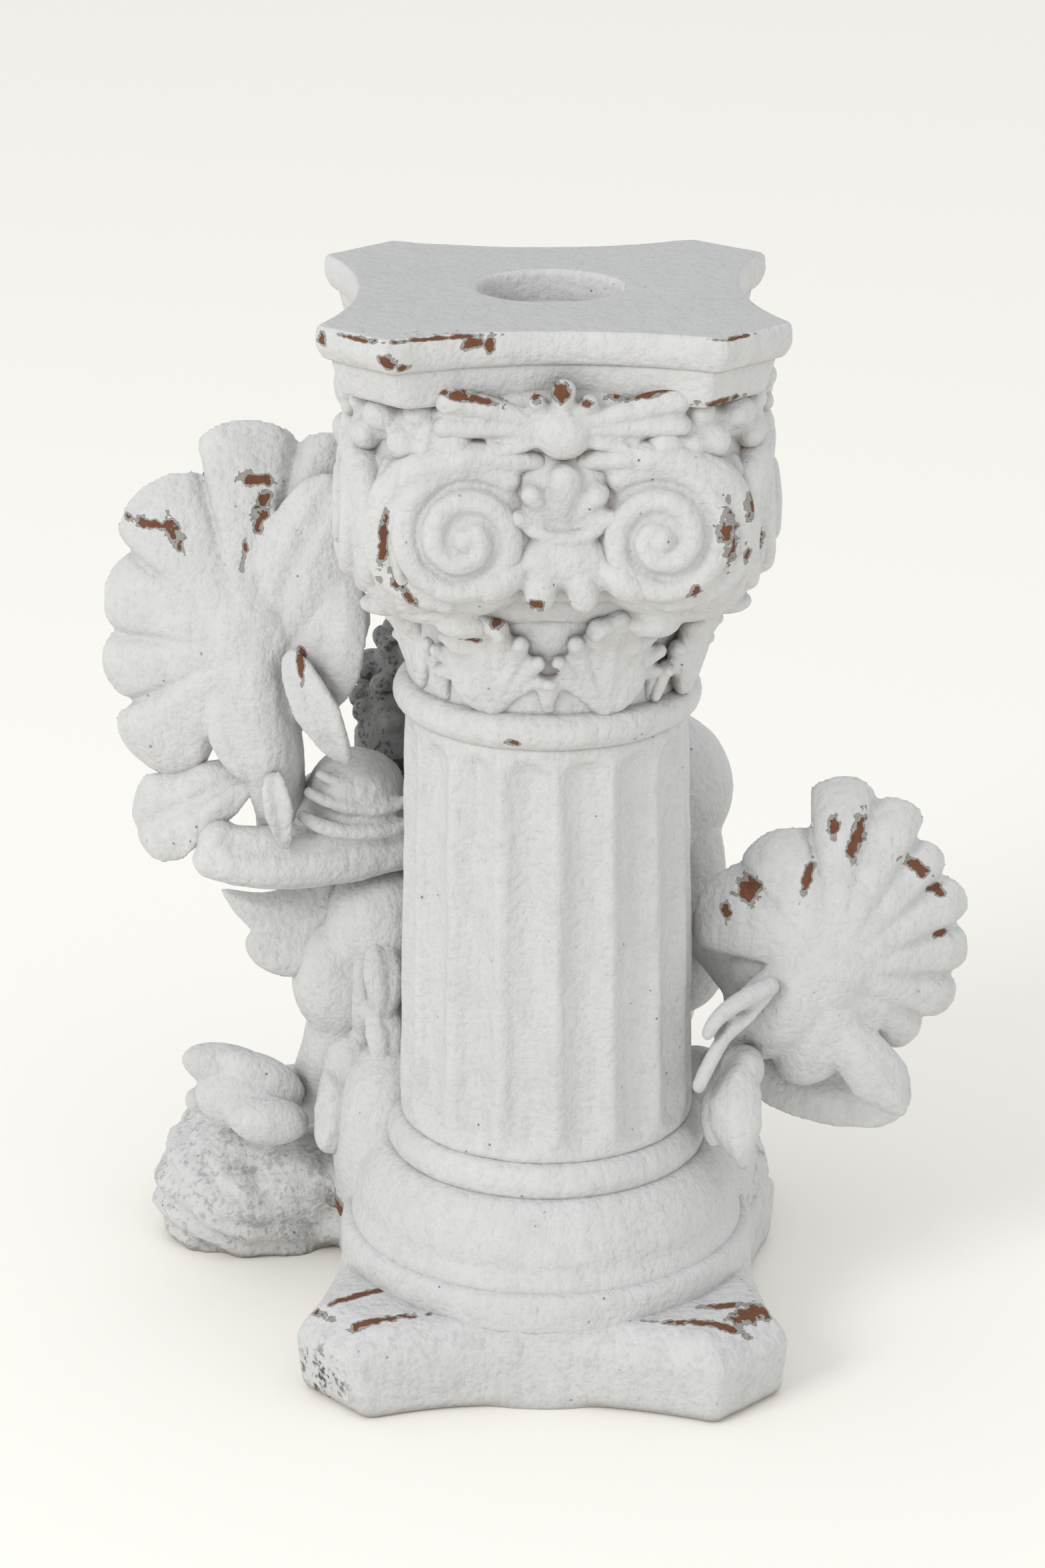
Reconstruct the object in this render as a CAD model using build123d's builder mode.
"""Painted wooden candlestick: a short fluted column with a scrolled capital that takes one
candle, set on a concave-sided plinth, with two large flowers and a leaning child figure
carved around its back.

Millimetres, +Z up. The origin is the centre of the plinth's underside. -Y is the side
that shows the column whole, and the mound and the figure stand on the +Y side.
"""

from build123d import *
from math import cos, radians, sin
import os

os.makedirs("parts", exist_ok=True)

# Heights up the column
PLINTH_EDGE = 11.7
PLINTH_TOP = 16.0
TORUS_TOP = 21.0
FLARE_TOP = 36.4
FILLET_TOP = 41.2
SHAFT_TOP = 116.9
ASTRAGAL_TOP = 122.6
BELL_TOP = 138.5
COLLAR_TOP = 144.0
BLOCK_TOP = 178.6
LOWER_TIER_TOP = 184.2
TOTAL_HEIGHT = 190.0

# Radii of the round mouldings
TORUS_RADIUS = 37.2
FLARE_FOOT_RADIUS = 33.5
FLARE_NECK_RADIUS = 28.1
SHAFT_FOOT_RADIUS = 25.8
SHAFT_NECK_RADIUS = 24.4
ASTRAGAL_RADIUS = 26.6
BELL_RADIUS = 26.5

# Flutes of the shaft
FLUTE_COUNT = 16
FLUTE_PHASE = -7.6
FLUTE_RADIUS = 3.6
FLUTE_DEPTH = 1.1
FLUTE_LOW = 47.0
FLUTE_HIGH = 112.5

# Candle bore, for a household taper candle of about 22 mm
CANDLE_RADIUS = 11.9
CANDLE_DEPTH = 24.0
SPIGOT_RADIUS = 17.0
SPIGOT_FLOOR = 3.0
SPIGOT_LOW = TOTAL_HEIGHT - CANDLE_DEPTH - SPIGOT_FLOOR

# Capital
CAPITAL_X = 1.0
CAPITAL_TURN = 1.2
ABACUS_Y = -2.0
BLOCK_HALF = 28.5
BLOCK_CORNER = 9.0
COLLAR_HALF = 29.5
BOLSTER_SPREAD = 21.5
BOLSTER_RADIUS = 15.3
BOLSTER_HEIGHT = 155.5
BUD_LOW = 171.4
VOLUTE_SPREAD = 15.9
VOLUTE_HEIGHT = 155.3
VOLUTE_RADIUS = 9.6
RELIEF = 3.6

# Dowels inside the column
DOWEL_RADIUS = 5.0

SIDES = {"front": 0.0, "right": 90.0, "back": 180.0, "left": 270.0}
CORNERS = {"front_right": 45.0, "back_right": 135.0, "back_left": 225.0, "front_left": 315.0}


def finish(part, name):
    """Label a finished piece and write its STEP file."""
    part.label = name
    export_step(part, f"parts/{name}.step")


def concave_square(half_side, corner_out, hollow):
    """Outline with four hollow sides and four flat chamfered corners."""
    for turn in (0, 90, 180, 270):
        left = Vector(-half_side, -corner_out).rotate(Axis.Z, turn)
        middle = Vector(0, hollow - corner_out).rotate(Axis.Z, turn)
        right = Vector(half_side, -corner_out).rotate(Axis.Z, turn)
        corner = Vector(corner_out, -half_side).rotate(Axis.Z, turn)
        ThreePointArc(left, middle, right)
        Line(right, corner)


def side_plane(turn, distance, height):
    """Plane facing outwards from the capital, with X along the side and Y up."""
    angle = radians(turn + CAPITAL_TURN - 90)
    outward = Vector(cos(angle), sin(angle), 0)
    origin = Vector(CAPITAL_X, 0, height) + outward * distance
    return Plane(origin=origin, x_dir=Vector(-outward.Y, outward.X, 0), z_dir=outward)


def corner_point(turn, distance, height):
    """Point out along a diagonal of the capital."""
    angle = radians(turn + CAPITAL_TURN - 90)
    return (CAPITAL_X + distance * cos(angle), distance * sin(angle), height)


def limb(start, end, start_radius, end_radius):
    """Round-ended taper between two points, joined to the part being built."""
    run = Vector(*end) - Vector(*start)
    with BuildSketch(Plane(origin=start, z_dir=run)) as start_disc:
        Circle(start_radius)
    with BuildSketch(Plane(origin=end, z_dir=run)) as end_disc:
        Circle(end_radius)
    loft([start_disc.sketch, end_disc.sketch])
    with Locations(start):
        Sphere(start_radius)
    with Locations(end):
        Sphere(end_radius)


def petal(centre, tip, facing, width, thickness, root):
    """Flat rounded petal from near the centre out to its tip."""
    run = Vector(*tip) - Vector(*centre)
    length = run.length
    plane = Plane(origin=centre, x_dir=run, z_dir=run.cross(Vector(*facing)).cross(run))
    with BuildSketch(plane) as outline:
        with Locations(((root + length) / 2, 0)):
            Ellipse((length - root) / 2, width / 2)
    extrude(outline.sketch, amount=thickness / 2, both=True)


# ---------------------------------------------------------------- column

with BuildPart() as base_dowel:
    with BuildSketch(Plane.XY.offset(5)):
        Circle(DOWEL_RADIUS)
    extrude(amount=55)
    chamfer(base_dowel.edges().filter_by(GeomType.CIRCLE), 0.8)
finish(base_dowel.part, "base_dowel")

with BuildPart() as capital_dowel:
    with BuildSketch(Plane.XY.offset(98)):
        Circle(DOWEL_RADIUS)
    extrude(amount=50)
    chamfer(capital_dowel.edges().filter_by(GeomType.CIRCLE), 0.8)
finish(capital_dowel.part, "capital_dowel")

with BuildPart() as plinth:
    with BuildSketch():
        with BuildLine():
            concave_square(31.0, 42.6, 5.8)
        make_face()
    extrude(amount=PLINTH_EDGE)
    with BuildSketch(Plane.XY.offset(PLINTH_EDGE)):
        with BuildLine():
            concave_square(31.0, 42.6, 5.8)
        make_face()
    with BuildSketch(Plane.XY.offset(PLINTH_TOP)):
        with BuildLine():
            concave_square(28.6, 38.4, 5.2)
        make_face()
    loft()
    add(base_dowel.part, mode=Mode.SUBTRACT)
finish(plinth.part, "plinth")

with BuildPart() as base_torus:
    with BuildSketch(Plane.XZ):
        with BuildLine():
            rise = TORUS_TOP - PLINTH_TOP
            inner = TORUS_RADIUS - rise / 2
            Line((DOWEL_RADIUS, PLINTH_TOP), (inner, PLINTH_TOP))
            ThreePointArc((inner, PLINTH_TOP), (TORUS_RADIUS, PLINTH_TOP + rise / 2), (inner, TORUS_TOP))
            Polyline((inner, TORUS_TOP), (DOWEL_RADIUS, TORUS_TOP), (DOWEL_RADIUS, PLINTH_TOP))
        make_face()
    revolve(axis=Axis.Z)
finish(base_torus.part, "base_torus")

with BuildPart() as base_flare:
    with BuildSketch(Plane.XZ):
        with BuildLine():
            Line((DOWEL_RADIUS, TORUS_TOP), (FLARE_FOOT_RADIUS, TORUS_TOP))
            Line((FLARE_FOOT_RADIUS, TORUS_TOP), (FLARE_FOOT_RADIUS, TORUS_TOP + 2))
            ThreePointArc(
                (FLARE_FOOT_RADIUS, TORUS_TOP + 2),
                (31.6, 29.5),
                (FLARE_NECK_RADIUS, FLARE_TOP),
            )
            Polyline((FLARE_NECK_RADIUS, FLARE_TOP), (DOWEL_RADIUS, FLARE_TOP), (DOWEL_RADIUS, TORUS_TOP))
        make_face()
    revolve(axis=Axis.Z)
finish(base_flare.part, "base_flare")

with BuildPart() as shaft_fillet:
    with BuildSketch(Plane.XZ):
        with BuildLine():
            Line((DOWEL_RADIUS, FLARE_TOP), (FLARE_NECK_RADIUS, FLARE_TOP))
            ThreePointArc((FLARE_NECK_RADIUS, FLARE_TOP), (28.2, 39.2), (26.6, FILLET_TOP))
            Polyline((26.6, FILLET_TOP), (DOWEL_RADIUS, FILLET_TOP), (DOWEL_RADIUS, FLARE_TOP))
        make_face()
    revolve(axis=Axis.Z)
finish(shaft_fillet.part, "shaft_fillet")


def flutes():
    """Cut the round-ended hollow grooves out of the shaft being built."""
    middle_radius = (SHAFT_FOOT_RADIUS + SHAFT_NECK_RADIUS) / 2
    axis_radius = middle_radius - FLUTE_DEPTH + FLUTE_RADIUS
    length = FLUTE_HIGH - FLUTE_LOW
    with Locations((0, 0, (FLUTE_HIGH + FLUTE_LOW) / 2)):
        with PolarLocations(axis_radius, FLUTE_COUNT, start_angle=FLUTE_PHASE - 90):
            Cylinder(FLUTE_RADIUS, length, mode=Mode.SUBTRACT)
    for height in (FLUTE_LOW, FLUTE_HIGH):
        with Locations((0, 0, height)):
            with PolarLocations(axis_radius, FLUTE_COUNT, start_angle=FLUTE_PHASE - 90):
                Sphere(FLUTE_RADIUS, mode=Mode.SUBTRACT)


with BuildPart() as fluted_shaft:
    with BuildSketch(Plane.XY.offset(FILLET_TOP)):
        Circle(SHAFT_FOOT_RADIUS)
    with BuildSketch(Plane.XY.offset(SHAFT_TOP)):
        Circle(SHAFT_NECK_RADIUS)
    loft()
    flutes()
    add(base_dowel.part, mode=Mode.SUBTRACT)
    add(capital_dowel.part, mode=Mode.SUBTRACT)
finish(fluted_shaft.part, "fluted_shaft")

with BuildPart() as astragal:
    with BuildSketch(Plane.XZ):
        with BuildLine():
            Line((DOWEL_RADIUS, SHAFT_TOP), (24.6, SHAFT_TOP))
            ThreePointArc(
                (24.6, SHAFT_TOP),
                (ASTRAGAL_RADIUS, (SHAFT_TOP + ASTRAGAL_TOP) / 2),
                (24.8, ASTRAGAL_TOP),
            )
            Polyline((24.8, ASTRAGAL_TOP), (DOWEL_RADIUS, ASTRAGAL_TOP), (DOWEL_RADIUS, SHAFT_TOP))
        make_face()
    revolve(axis=Axis.Z)
finish(astragal.part, "astragal")


# ---------------------------------------------------------------- capital

with BuildPart() as capital_bell:
    with BuildSketch(Plane.XZ):
        with BuildLine():
            Line((0, ASTRAGAL_TOP), (24.0, ASTRAGAL_TOP))
            Line((24.0, ASTRAGAL_TOP), (BELL_RADIUS, BELL_TOP))
            Polyline((BELL_RADIUS, BELL_TOP), (0, BELL_TOP), (0, ASTRAGAL_TOP))
        make_face()
    revolve(axis=Axis.Z)
    add(capital_dowel.part, mode=Mode.SUBTRACT)
finish(capital_bell.part, "capital_bell")

with BuildPart() as bell_collar:
    with BuildSketch(Plane(origin=(CAPITAL_X, 0, BELL_TOP), x_dir=(1, 0, 0), z_dir=(0, 0, 1))):
        RectangleRounded(2 * COLLAR_HALF - 3, 2 * COLLAR_HALF - 3, 14)
    with BuildSketch(Plane(origin=(CAPITAL_X, 0, COLLAR_TOP), x_dir=(1, 0, 0), z_dir=(0, 0, 1))):
        RectangleRounded(2 * COLLAR_HALF + 2, 2 * COLLAR_HALF + 2, 12)
    loft()
    add(capital_dowel.part, mode=Mode.SUBTRACT)
finish(bell_collar.part, "bell_collar")

ABACUS_PLANE = Plane(origin=(0.2, ABACUS_Y, 0)).rotated((0, 0, CAPITAL_TURN))

with BuildPart() as abacus_upper:
    with BuildSketch(ABACUS_PLANE.offset(LOWER_TIER_TOP)):
        with BuildLine():
            concave_square(26.6, 38.0, 6.0)
        make_face()
    extrude(amount=TOTAL_HEIGHT - LOWER_TIER_TOP)
    with BuildSketch(Plane.XY.offset(SPIGOT_LOW)):
        Circle(SPIGOT_RADIUS)
    extrude(amount=LOWER_TIER_TOP - SPIGOT_LOW)
    with Locations((0, 0, TOTAL_HEIGHT - CANDLE_DEPTH / 2)):
        Cylinder(CANDLE_RADIUS, CANDLE_DEPTH, mode=Mode.SUBTRACT)
finish(abacus_upper.part, "abacus_upper")



def spigot_hole():
    """Cut the hole that the abacus's round spigot is glued into."""
    with Locations((0, 0, SPIGOT_LOW)):
        Cylinder(SPIGOT_RADIUS, 40, align=(Align.CENTER, Align.CENTER, Align.MIN), mode=Mode.SUBTRACT)


with BuildPart() as abacus_lower:
    with BuildSketch(ABACUS_PLANE.offset(BLOCK_TOP)):
        with BuildLine():
            concave_square(24.6, 34.2, 5.0)
        make_face()
    with BuildSketch(ABACUS_PLANE.offset(LOWER_TIER_TOP)):
        with BuildLine():
            concave_square(25.6, 36.2, 5.6)
        make_face()
    loft()
    spigot_hole()
finish(abacus_lower.part, "abacus_lower")

with BuildPart() as volute_block:
    with BuildSketch(Plane(origin=(CAPITAL_X, 0, COLLAR_TOP)).rotated((0, 0, CAPITAL_TURN))):
        RectangleRounded(2 * BLOCK_HALF, 2 * BLOCK_HALF, BLOCK_CORNER)
    extrude(amount=BLOCK_TOP - COLLAR_TOP)
    spigot_hole()
    add(capital_dowel.part, mode=Mode.SUBTRACT)
finish(volute_block.part, "volute_block")


def capital_core():
    """Take the plain pieces of the capital out of the ornament being built."""
    for piece in (volute_block, bell_collar, capital_bell, abacus_lower, abacus_upper, astragal):
        add(piece.part, mode=Mode.SUBTRACT)


bolsters = {}
for corner, turn in CORNERS.items():
    with BuildPart() as bolster:
        with Locations(corner_point(turn, BOLSTER_SPREAD * 2**0.5, BOLSTER_HEIGHT)):
            Sphere(BOLSTER_RADIUS)
        capital_core()
        with Locations((CAPITAL_X, 0, BOLSTER_HEIGHT)):
            Cylinder(27.5, 60, mode=Mode.SUBTRACT)
    finish(bolster.part, f"bolster_{corner}")
    bolsters[corner] = bolster.part

for corner, turn in CORNERS.items():
    with BuildPart() as bud_cluster:
        with BuildSketch(Plane.XY.offset(BUD_LOW)):
            for around, out, radius in ((-13, 37.0, 3.6), (13, 37.0, 3.6), (0, 38.4, 4.0)):
                with Locations(corner_point(turn + around, out, 0)):
                    Circle(radius)
            with Locations(Location((CAPITAL_X, 0, 0), (0, 0, 1), CAPITAL_TURN)):
                RectangleRounded(2 * BLOCK_HALF, 2 * BLOCK_HALF, BLOCK_CORNER, mode=Mode.SUBTRACT)
        extrude(amount=BLOCK_TOP - 0.3 - BUD_LOW)
    finish(bud_cluster.part, f"bud_cluster_{corner}")

for side, turn in SIDES.items():
    with BuildPart() as volute_scrolls:
        with BuildSketch(side_plane(turn, BLOCK_HALF, VOLUTE_HEIGHT)):
            with Locations((-VOLUTE_SPREAD, 0), (VOLUTE_SPREAD, 0)):
                Circle(VOLUTE_RADIUS)
        extrude(amount=RELIEF)
        with BuildSketch(side_plane(turn, BLOCK_HALF + RELIEF, VOLUTE_HEIGHT)):
            with Locations((-VOLUTE_SPREAD, 0), (VOLUTE_SPREAD, 0)):
                Circle(VOLUTE_RADIUS - 2.4)
                Circle(VOLUTE_RADIUS - 4.4, mode=Mode.SUBTRACT)
        extrude(amount=-1.2, mode=Mode.SUBTRACT)
        for bolster in bolsters.values():
            add(bolster, mode=Mode.SUBTRACT)
    finish(volute_scrolls.part, f"volute_scrolls_{side}")

    with BuildPart() as palmette:
        with BuildSketch(side_plane(turn, BLOCK_HALF, 156.5)):
            Ellipse(5.6, 3.0)
            for lean in (-60, -30, 0, 30, 60):
                with Locations(Location((0, 0, 0), (0, 0, 1), lean)):
                    with Locations((0, 5.4)):
                        Ellipse(1.7, 4.6)
        extrude(amount=RELIEF - 0.6)
        with BuildSketch(side_plane(turn, BLOCK_HALF, 149.0)):
            for place, drop in ((-11.5, 0.8), (-3.9, -0.8), (3.9, -0.8), (11.5, 0.8)):
                with Locations((place, drop)):
                    Ellipse(3.9, 4.2)
        extrude(amount=RELIEF + 0.4)
        with BuildSketch(side_plane(turn, BLOCK_HALF, VOLUTE_HEIGHT)):
            with Locations((-VOLUTE_SPREAD, 0), (VOLUTE_SPREAD, 0)):
                Circle(VOLUTE_RADIUS)
        extrude(amount=2 * RELIEF, mode=Mode.SUBTRACT)
        for bolster in bolsters.values():
            add(bolster, mode=Mode.SUBTRACT)
    finish(palmette.part, f"palmette_{side}")

    with BuildPart() as fleuron:
        with BuildSketch(side_plane(turn, BLOCK_HALF, 173.6)):
            Circle(4.2)
            for lean, reach, width in (
                (-78, 15, 3.6),
                (78, 15, 3.6),
                (-100, 12, 3.0),
                (100, 12, 3.0),
                (-62, 15, 3.4),
                (62, 15, 3.4),
                (-24, 8, 3.4),
                (0, 9, 3.6),
                (24, 8, 3.4),
            ):
                with Locations(Location((0, 0, 0), (0, 0, 1), -lean)):
                    with Locations((0, reach / 2)):
                        Ellipse(width / 2, reach / 2)
        extrude(amount=5.2)
        capital_core()
        for bolster in bolsters.values():
            add(bolster, mode=Mode.SUBTRACT)
    finish(fleuron.part, f"fleuron_{side}")

    with BuildPart() as acanthus:
        for spread in (-9.4, 9.4):
            with BuildSketch(side_plane(turn, 18.6, 124.0)):
                with BuildLine():
                    Spline(
                        (spread - 4, 0),
                        (spread - 8, 6),
                        (spread - 6.5, 12.5),
                        (spread, 14.2),
                        (spread + 6.5, 12.5),
                        (spread + 8, 6),
                        (spread + 4, 0),
                    )
                    Line((spread + 4, 0), (spread - 4, 0))
                make_face()
            extrude(amount=14)
        with Locations((0, 0, 131)):
            Cylinder(28.4, 20, mode=Mode.INTERSECT)
        capital_core()
    finish(acanthus.part, f"acanthus_{side}")


# ---------------------------------------------------------------- mound and figure


def clear_of(*pieces):
    """Cut the piece being built back to the faces of its neighbours."""
    for piece in pieces:
        add(piece.part, mode=Mode.SUBTRACT)


column = (plinth, base_torus, base_flare, shaft_fillet, fluted_shaft, astragal, capital_bell)

MOUND_OUTLINE = (
    (-41, 19),
    (-67, 31),
    (-76, 48),
    (-62, 68),
    (-30, 77),
    (8, 77),
    (36, 62),
    (43, 36),
    (38, 14),
    (0, 8),
)
MOUND_MIDDLE = Vector(-14, 44)
MOUND_HEIGHT = 21.0


def mound_outline(shrink):
    """Closed smooth outline of the mound, drawn in towards its middle."""
    points = [MOUND_MIDDLE + (Vector(*point) - MOUND_MIDDLE) * shrink for point in MOUND_OUTLINE]
    Spline(*points, periodic=True)


with BuildPart() as rock_mound:
    for height, shrink in ((0, 0.97), (8, 1.0), (MOUND_HEIGHT, 0.82)):
        with BuildSketch(Plane.XY.offset(height)):
            with BuildLine():
                mound_outline(shrink)
            make_face()
    loft()
    clear_of(*column)
finish(rock_mound.part, "rock_mound")

with BuildPart() as figure_torso:
    limb((10, 50, 34), (18, 44, 86), 16, 16.5)
    clear_of(rock_mound, *column)
finish(figure_torso.part, "figure_torso")

with BuildPart() as figure_head:
    with Locations((-15, 44, 104)):
        Sphere(14.5)
    clear_of(figure_torso, *column)
finish(figure_head.part, "figure_head")

with BuildPart() as figure_hair:
    with Locations((-16.5, 42, 106)):
        Sphere(16)
    with Locations((-15, 63, 104)):
        Box(60, 30, 60, mode=Mode.SUBTRACT)
    clear_of(figure_head, figure_torso, *column)
finish(figure_hair.part, "figure_hair")

with BuildPart() as figure_leg_left:
    limb((-4, 50, 42), (-36, 30, 60), 11, 8.5)
    limb((-36, 30, 60), (-46, 27, 36), 8.5, 6)
    clear_of(figure_torso, rock_mound, *column)
finish(figure_leg_left.part, "figure_leg_left")

with BuildPart() as figure_foot_left:
    limb((-46, 27, 30), (-61, 29, 29.5), 6.5, 6)
    clear_of(figure_leg_left, rock_mound)
finish(figure_foot_left.part, "figure_foot_left")

with BuildPart() as figure_leg_right:
    limb((16, 54, 38), (2, 74, 40), 11, 8.5)
    limb((2, 74, 40), (16, 66, 20), 8.5, 6.5)
    clear_of(figure_torso, figure_leg_left, rock_mound)
finish(figure_leg_right.part, "figure_leg_right")

with BuildPart() as figure_arm_left:
    limb((2, 52, 88), (-24, 44, 78), 7, 6)
    limb((-24, 44, 78), (-42, 28, 84), 6, 4.5)
    clear_of(figure_torso, figure_head, figure_hair, figure_leg_left, *column)
finish(figure_arm_left.part, "figure_arm_left")

with BuildPart() as figure_arm_right:
    limb((26, 44, 88), (34, 34, 66), 7, 6)
    limb((34, 34, 66), (36, 14, 58), 6, 4.5)
    clear_of(figure_torso, *column)
finish(figure_arm_right.part, "figure_arm_right")

with BuildPart() as drapery:
    limb((-54, 16, 84), (-27, 21, 80), 5.5, 5)
    limb((-44, 20, 84), (-28, 24, 86), 6, 8)
    clear_of(figure_arm_left, figure_leg_left, figure_hair, *column)
finish(drapery.part, "drapery")


# ---------------------------------------------------------------- flowers and leaves

LEFT_HUB = (-50.5, 14, 117)
LEFT_TIPS = (
    (-67, 22, 147),
    (-53, 24, 160),
    (-39, 24, 157),
    (-75, 20, 132),
    (-78, 18, 118),
    (-73, 16, 101),
    (-62, 14, 98),
    (-35, 12, 106),
    (-34, 12, 124),
)
RIGHT_HUB = (50, -2, 70)
RIGHT_TIPS = (
    (28, 0, 80),
    (38, 4, 94),
    (52, 8, 102),
    (61, 8, 98),
    (68, 7, 88),
    (72, 6, 79),
    (72, 4, 68),
    (69, 2, 55),
    (58, -2, 48),
    (42, -4, 48),
)

with BuildPart() as left_stem:
    limb((-49, 20, 88), (-50, 15, 110), 4, 5)
    clear_of(drapery, figure_arm_left)
finish(left_stem.part, "left_stem")

with BuildPart() as left_flower_calyx:
    with Locations(LEFT_HUB):
        Sphere(9.5)
    clear_of(left_stem, drapery)
finish(left_flower_calyx.part, "left_flower_calyx")

with BuildPart() as left_flower_petals:
    for tip in LEFT_TIPS:
        petal(LEFT_HUB, tip, (0.2, -1, 0.1), 15, 2.2, 4)
    clear_of(left_flower_calyx, left_stem, drapery, volute_block)
    for bolster in bolsters.values():
        add(bolster, mode=Mode.SUBTRACT)
finish(left_flower_petals.part, "left_flower_petals")

with BuildPart() as left_leaf_upper:
    petal((-50, 18, 101), (-75, 21, 82), (0.2, -1, 0.3), 17, 2.4, 2)
    clear_of(left_flower_petals, left_flower_calyx, left_stem, drapery)
finish(left_leaf_upper.part, "left_leaf_upper")

with BuildPart() as left_leaf_lower:
    petal((-34, 24, 71), (-58, 24, 67), (0, -1, 0.4), 11, 2.4, 0)
    clear_of(drapery, figure_leg_left, figure_arm_left)
finish(left_leaf_lower.part, "left_leaf_lower")

with BuildPart() as mound_leaves:
    petal((-30, 27, 44), (-38, 20, 24), (0, -1, 0.2), 10, 2.6, 0)
    petal((-28, 27, 44), (-29, 22, 26), (0, -1, 0.2), 8, 2.6, 0)
    clear_of(figure_leg_left, rock_mound, *column)
finish(mound_leaves.part, "mound_leaves")

with BuildPart() as mound_bud:
    limb((-47, 14, 33), (-56, 18, 36), 4.2, 6.2)
    clear_of(figure_foot_left, figure_leg_left, mound_leaves, rock_mound, *column)
finish(mound_bud.part, "mound_bud")

with BuildPart() as right_stem:
    limb((31, 10, 44), (45, 4, 63), 5, 6)
    clear_of(figure_arm_right, rock_mound, *column)
finish(right_stem.part, "right_stem")

with BuildPart() as right_flower_calyx:
    with Locations(RIGHT_HUB):
        Sphere(9)
    clear_of(right_stem, figure_arm_right)
finish(right_flower_calyx.part, "right_flower_calyx")

with BuildPart() as right_flower_petals:
    for tip in RIGHT_TIPS:
        petal(RIGHT_HUB, tip, (0, -1, 0.1), 12, 2.2, 4)
    clear_of(right_flower_calyx, right_stem, figure_arm_right, *column)
finish(right_flower_petals.part, "right_flower_petals")

with BuildPart() as right_leaf_back:
    petal((36, 6, 50), (62, 5, 37), (0, -1, 0.3), 15, 2.6, 0)
    clear_of(right_flower_petals, right_flower_calyx, right_stem, *column)
finish(right_leaf_back.part, "right_leaf_back")

with BuildPart() as right_sepals:
    limb((41, -9, 66), (30, -12, 62), 1.8, 2.4)
    limb((30, -12, 62), (29, -13, 52), 2.4, 2.6)
    clear_of(right_flower_petals, right_flower_calyx, right_stem, right_leaf_back, *column)
finish(right_sepals.part, "right_sepals")

with BuildPart() as right_bud:
    limb((34, -6, 50), (32.5, -14, 41), 2.6, 3.8)
    clear_of(right_sepals, right_flower_petals, right_stem, right_leaf_back, *column)
finish(right_bud.part, "right_bud")
